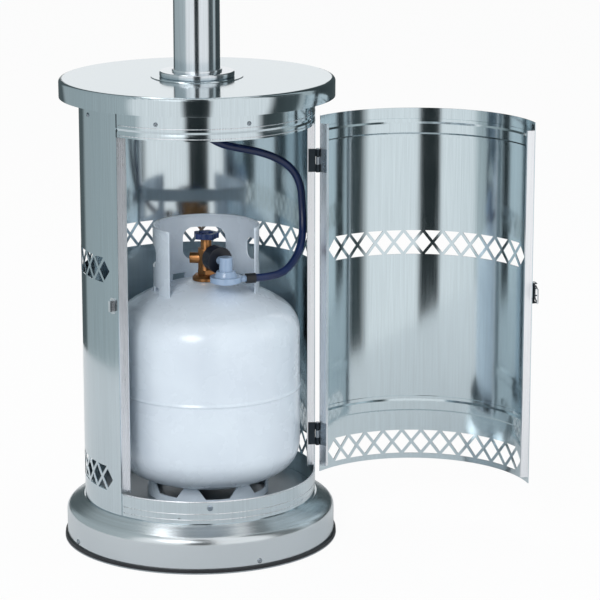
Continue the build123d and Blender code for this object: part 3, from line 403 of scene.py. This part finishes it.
# Every material slot's finish: the function that draws it, and its values
FINISHES = {
    "sheet_steel": (brushed, (0.58, 0.66, 0.70), 0.12),
    "door_steel": (brushed, (0.58, 0.67, 0.71), 0.12),
    # Edge steel: the sheet steel drawn much paler, as painted highlight on edges and rolled
    # beads.
    "edge_steel": (brushed, (0.86, 0.88, 0.91), 0.30),
    "cover_steel": (spun, (0.66, 0.71, 0.74), 0.22),
    "plate_steel": (brushed, (0.42, 0.46, 0.49), 0.42),
    "zinc": (plated, (0.34, 0.38, 0.42)),
    "dark_zinc": (plated, (0.035, 0.045, 0.055), 0.35),
    "bright_wire": (plated, (0.82, 0.84, 0.87), 0.16),
    "trim_rubber": (moulded, (0.012, 0.014, 0.018), 0.55),
    "bottle_paint": (painted, (0.78, 0.88, 0.99), 0.26),
    "brass": (plated, (0.42, 0.20, 0.08), 0.28),
    "wheel_plastic": (moulded, (0.012, 0.032, 0.12), 0.25),
    "nut_plastic": (moulded, (0.005, 0.007, 0.014), 0.35),
    "regulator_paint": (painted, (0.34, 0.47, 0.66), 0.2, 240, 0.6),
    "hose_rubber": (moulded, (0.004, 0.017, 0.080), 0.28, 300, 0.2),
    "ferrule_rubber": (moulded, (0.008, 0.009, 0.012), 0.5),
    "post_steel": (brushed, (0.68, 0.73, 0.77), 0.15),
    "cast": (cast, (0.05, 0.05, 0.055)),
    "emitter_steel": (perforated, (0.42, 0.40, 0.37)),
    "valve_alloy": (plated, (0.55, 0.56, 0.58), 0.45),
    "switch_plastic": (moulded, (0.01, 0.01, 0.012), 0.5),
    "knob_plastic": (moulded, (0.008, 0.008, 0.009), 0.28),
    "button_plastic": (moulded, (0.012, 0.012, 0.014), 0.3),
    "spun_aluminium": (spun, (0.76, 0.78, 0.80), 0.26),
}
MATERIALS = {name: draw(name, *values) for name, (draw, *values) in FINISHES.items()}

# The door's ribs are pressed from the same sheet as its skin
SAME_SHEET = {"door_top_rib": "door_steel", "door_low_rib": "door_steel"}


def dress_nodes():
    """Every CAD node gets its slot's material."""
    slots = {s["node"]: s["material_slot"] for s in frame["record"]["subparts"]}
    for name, obj in NODES.items():
        obj.data.materials.clear()
        obj.data.materials.append(MATERIALS[SAME_SHEET.get(name, slots[name])])
        for poly in obj.data.polygons:
            poly.material_index = 0


# Meshes


def add_object(name, data):
    obj = bpy.data.objects.new(name, data)
    bpy.context.scene.collection.objects.link(obj)
    return obj


def from_bmesh(name, mesh, slot, body):
    """Object from a built mesh, in a slot's material and on a body."""
    data = bpy.data.meshes.new(name)
    bmesh.ops.recalc_face_normals(mesh, faces=mesh.faces)
    mesh.to_mesh(data)
    mesh.free()
    for poly in data.polygons:
        poly.use_smooth = True
    obj = add_object(name, data)
    obj.data.materials.append(MATERIALS[slot])
    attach(obj, body)
    return obj


def add_ring(mesh, radius, z, section, start, sweep, steps=120, sides=6, at=(0, 0)):
    """Round bead that follows a part of a circle, with an end cap at each side."""
    count = max(8, round(steps * sweep / 360)) + 1
    loops = []
    for index in range(count):
        phi = start + sweep * index / (count - 1)
        loop = []
        for side in range(sides):
            turn = 2 * pi * side / sides
            place = polar(phi, radius + section * cos(turn), z + section * sin(turn))
            loop.append(mesh.verts.new(place + Vector((at[0], at[1], 0))))
        loops.append(loop)
    for one, two in zip(loops, loops[1:]):
        for side in range(sides):
            after = (side + 1) % sides
            mesh.faces.new((one[side], two[side], two[after], one[after]))
    mesh.faces.new(loops[0])
    mesh.faces.new(loops[-1])


def add_lathe(mesh, at, axis, profile, sides=20):
    """Turned piece on an axis, from (radius, height) points that start and end on the axis."""
    turn = axis.to_track_quat("Z", "Y").to_matrix().to_4x4()
    place = Matrix.Translation(at) @ turn
    rings = []
    for radius, height in profile:
        if radius == 0:
            rings.append([mesh.verts.new(place @ Vector((0, 0, height)))])
            continue
        ring = []
        for side in range(sides):
            angle = 2 * pi * side / sides
            point = Vector((radius * cos(angle), radius * sin(angle), height))
            ring.append(mesh.verts.new(place @ point))
        rings.append(ring)
    for one, two in zip(rings, rings[1:]):
        for side in range(sides):
            after = (side + 1) % sides
            if len(one) == 1:
                mesh.faces.new((one[0], two[side], two[after]))
            elif len(two) == 1:
                mesh.faces.new((one[side], one[after], two[0]))
            else:
                mesh.faces.new((one[side], one[after], two[after], two[side]))


def pan_profile(radius, height):
    """Pan head with a round recess in its middle."""
    return (
        (0, 0),
        (radius, 0),
        (radius, height * 0.3),
        (radius * 0.85, height * 0.8),
        (radius * 0.55, height),
        (radius * 0.34, height),
        (radius * 0.28, height * 0.5),
        (0, height * 0.5),
    )


# Details that the solids leave to this script


def screws():
    """Pan heads on the base cover and on the top band, in place of the plain ones."""
    mesh = bmesh.new()
    z = centre("base_screws").z
    for phi in BASE_SCREW_PHIS:
        add_lathe(mesh, polar(phi, COVER_R, z), polar(phi, 1), pan_profile(*BASE_HEAD))
    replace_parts(from_bmesh("base_pan_heads", mesh, "zinc", "heater"), "base_screws")
    mesh = bmesh.new()
    z = centre("band_screws").z
    for step in range(BAND_SCREWS):
        phi = 360 / BAND_SCREWS * step
        seat = BAND_R if step in ON_BAND else CABINET_R
        add_lathe(mesh, polar(phi, seat, z), polar(phi, 1), pan_profile(*BAND_HEAD))
    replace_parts(from_bmesh("band_pan_heads", mesh, "zinc", "heater"), "band_screws")


def band_beads():
    """Rolled beads along the two bands and the hem on the lower band's top edge, drawn in the
    paler edge steel as painted highlight.
    """
    mesh = bmesh.new()
    arc = (BAND_START_PHI, BAND_SWEEP)
    for rise in LOW_BEADS:
        add_ring(mesh, BAND_R - BEAD_SINK, low_z("bottom_band") + rise, BEAD_R, *arc)
    add_ring(mesh, BAND_R - HEM_SINK, OPENING_Z - HEM_SINK, HEM_R, *arc, sides=8)
    for rise in TOP_BEADS:
        add_ring(mesh, BAND_R - BEAD_SINK, OPENING_TOP_Z + rise, BEAD_R, *arc)
    from_bmesh("band_beads", mesh, "edge_steel", "heater")


def bottle_details():
    """Rolled rim along the collar's top and the welds where the foot meets the dome."""
    at = (BOTTLE.x, BOTTLE.y)
    mesh = bmesh.new()
    top = high_z("bottle_collar") - RIM_SINK
    add_ring(mesh, RIM_AT_R, top, RIM_R, RIM_START_PHI, RIM_SWEEP, steps=110, sides=8, at=at)
    from_bmesh("collar_rim", mesh, "bottle_paint", "heater")
    mesh = bmesh.new()
    foot_top = high_z("bottle_foot") - WELD_SINK
    for step in range(WELDS):
        start = WELD_START_PHI + 360 / WELDS * (step + 0.5) - WELD_SWEEP / 2
        add_ring(mesh, WELD_AT_R, foot_top, WELD_R, start, WELD_SWEEP, steps=160, at=at)
    from_bmesh("foot_welds", mesh, "bottle_paint", "heater")


def latch_boss():
    """Head of the lever's pin, above the latch's upper ear."""
    mesh = bmesh.new()
    place = Vector(joint("latch_lever_swing")["pos_m"]) + Vector((0, 0, PIN_HEAD_RISE))
    add_lathe(mesh, place, Vector((0, 0, 1)), PIN_HEAD)
    from_bmesh("latch_boss", mesh, "bright_wire", "latch_lever")


def hose():
    """The gas hose as one smooth curve through the route that the solid follows."""
    curve = bpy.data.curves.new("hose_tube", "CURVE")
    curve.dimensions = "3D"
    curve.resolution_u = 12
    curve.bevel_depth = HOSE_R
    curve.bevel_resolution = 6
    curve.use_fill_caps = True
    spline = curve.splines.new("NURBS")
    points = [Vector(p) / 1000 for p in HOSE_ROUTE_MM]
    spline.points.add(len(points) - 1)
    for place, point in zip(points, spline.points):
        point.co = (*place, 1)
    spline.order_u = 3
    spline.use_endpoint_u = True
    obj = add_object("hose_tube", curve)
    curve.materials.append(MATERIALS["hose_rubber"])
    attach(obj, "heater")
    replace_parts(obj, "gas_hose")


def round_edges():
    """Small rounded edges on machined and pressed pieces, for their highlights."""
    for name, width in EDGE_WIDTHS.items():
        obj = NODES[name]
        weld = obj.modifiers.new("weld", "WELD")
        weld.merge_threshold = WELD_GAP
        bevel = obj.modifiers.new("bevel", "BEVEL")
        bevel.width = width
        bevel.segments = 2
        bevel.limit_method = "ANGLE"
        bevel.angle_limit = EDGE_ANGLE


# Stage


class Stage(Tree):
    """Empty tree of a material or a world, for floor, tent and background."""

    def __init__(self, owner):
        super().__init__(owner)
        self.tree.nodes.clear()

    def surface(self, kind, source):
        out = self.node(kind)
        self.link(source, out.inputs["Surface"])


def floor():
    """Pale floor that fades into the white background but keeps the heater's shadow."""
    size = FLOOR_SIZE
    data = bpy.data.meshes.new("floor")
    corners = [(-size, -size, 0), (size, -size, 0), (size, size, 0), (-size, size, 0)]
    data.from_pydata(corners, [], [(0, 1, 2, 3)])
    mat = bpy.data.materials.new("floor_paper")
    stage = Stage(mat)
    paper = stage.node("ShaderNodeBsdfDiffuse")
    paper.inputs["Color"].default_value = FLOOR_COLOUR
    glow = stage.node("ShaderNodeEmission")
    path = stage.node("ShaderNodeLightPath")
    mix = stage.node("ShaderNodeMixShader")
    seen = stage.math("MULTIPLY", path.outputs["Is Camera Ray"], FLOOR_WHITE)
    stage.link(seen, mix.inputs["Fac"])
    stage.link(paper.outputs[0], mix.inputs[1])
    stage.link(glow.outputs[0], mix.inputs[2])
    stage.surface("ShaderNodeOutputMaterial", mix.outputs[0])
    data.materials.append(mat)
    add_object("floor", data)


def tent_material():
    """Pale panels and dark gaps between them, by the angle round the heater."""
    mat = bpy.data.materials.new("tent_panels")
    stage = Stage(mat)
    x, y, _ = stage.split(stage.node("ShaderNodeTexCoord").outputs["Object"])
    angle = stage.math("ARCTAN2", x, stage.math("MULTIPLY", y, -1))
    share = stage.node("ShaderNodeMapRange")
    share.inputs["From Min"].default_value = -pi
    share.inputs["From Max"].default_value = pi
    stage.link(angle, share.inputs["Value"])
    stops = []
    for phi, bright in TENT:
        tint = [bright * (part + (1 - part) * bright) for part in TENT_TINT]
        stops.append(((phi + 180) / 360, tint))
    glow = stage.node("ShaderNodeEmission")
    stage.link(stage.ramp(share.outputs["Result"], stops), glow.inputs["Color"])
    stage.surface("ShaderNodeOutputMaterial", glow.outputs[0])
    return mat


def tent():
    """Round wall that only reflections see."""
    mesh = bmesh.new()
    rings = []
    for z in (TENT_LOW, TENT_TOP):
        phis = [360 * side / TENT_SIDES for side in range(TENT_SIDES)]
        rings.append([mesh.verts.new(polar(phi, TENT_R, z)) for phi in phis])
    for side in range(TENT_SIDES):
        after = (side + 1) % TENT_SIDES
        mesh.faces.new((rings[0][side], rings[0][after], rings[1][after], rings[1][side]))
    data = bpy.data.meshes.new("tent")
    mesh.to_mesh(data)
    mesh.free()
    data.materials.append(tent_material())
    obj = add_object("tent", data)
    obj.visible_camera = False
    obj.visible_diffuse = False
    obj.visible_transmission = False
    obj.visible_shadow = False


def world():
    """Even pale light, white where the camera or a reflection sees it."""
    made = bpy.data.worlds.new("studio")
    bpy.context.scene.world = made
    stage = Stage(made)
    path = stage.node("ShaderNodeLightPath")
    back = stage.node("ShaderNodeBackground")
    back.inputs["Color"].default_value = (1, 1, 1, 1)
    shown = stage.math("MAXIMUM", path.outputs["Is Camera Ray"], path.outputs["Is Glossy Ray"])
    stage.link(stage.spread(shown, AMBIENT, 1.0), back.inputs["Strength"])
    stage.surface("ShaderNodeOutputWorld", back.outputs[0])


def lamps():
    for name, place, size, power in LAMPS:
        lamp = bpy.data.lights.new(name, "AREA")
        lamp.shape = "DISK"
        lamp.size = size
        lamp.energy = power
        obj = add_object(name, lamp)
        obj.location = place
        obj.rotation_euler = (LAMP_TARGET - Vector(place)).to_track_quat("-Z", "Y").to_euler()


def camera():
    cam = bpy.data.cameras.new("camera")
    cam.lens = CAMERA_LENS
    cam.sensor_width = CAMERA_SENSOR
    eye = add_object("camera", cam)
    eye.location = CAMERA_AT
    eye.rotation_euler = CAMERA_LOOK.to_track_quat("-Z", "Y").to_euler()
    bpy.context.scene.camera = eye
    bpy.context.scene.view_settings.view_transform = "Standard"


dress_nodes()
screws()
band_beads()
bottle_details()
latch_boss()
hose()
round_edges()
floor()
tent()
world()
lamps()
camera()
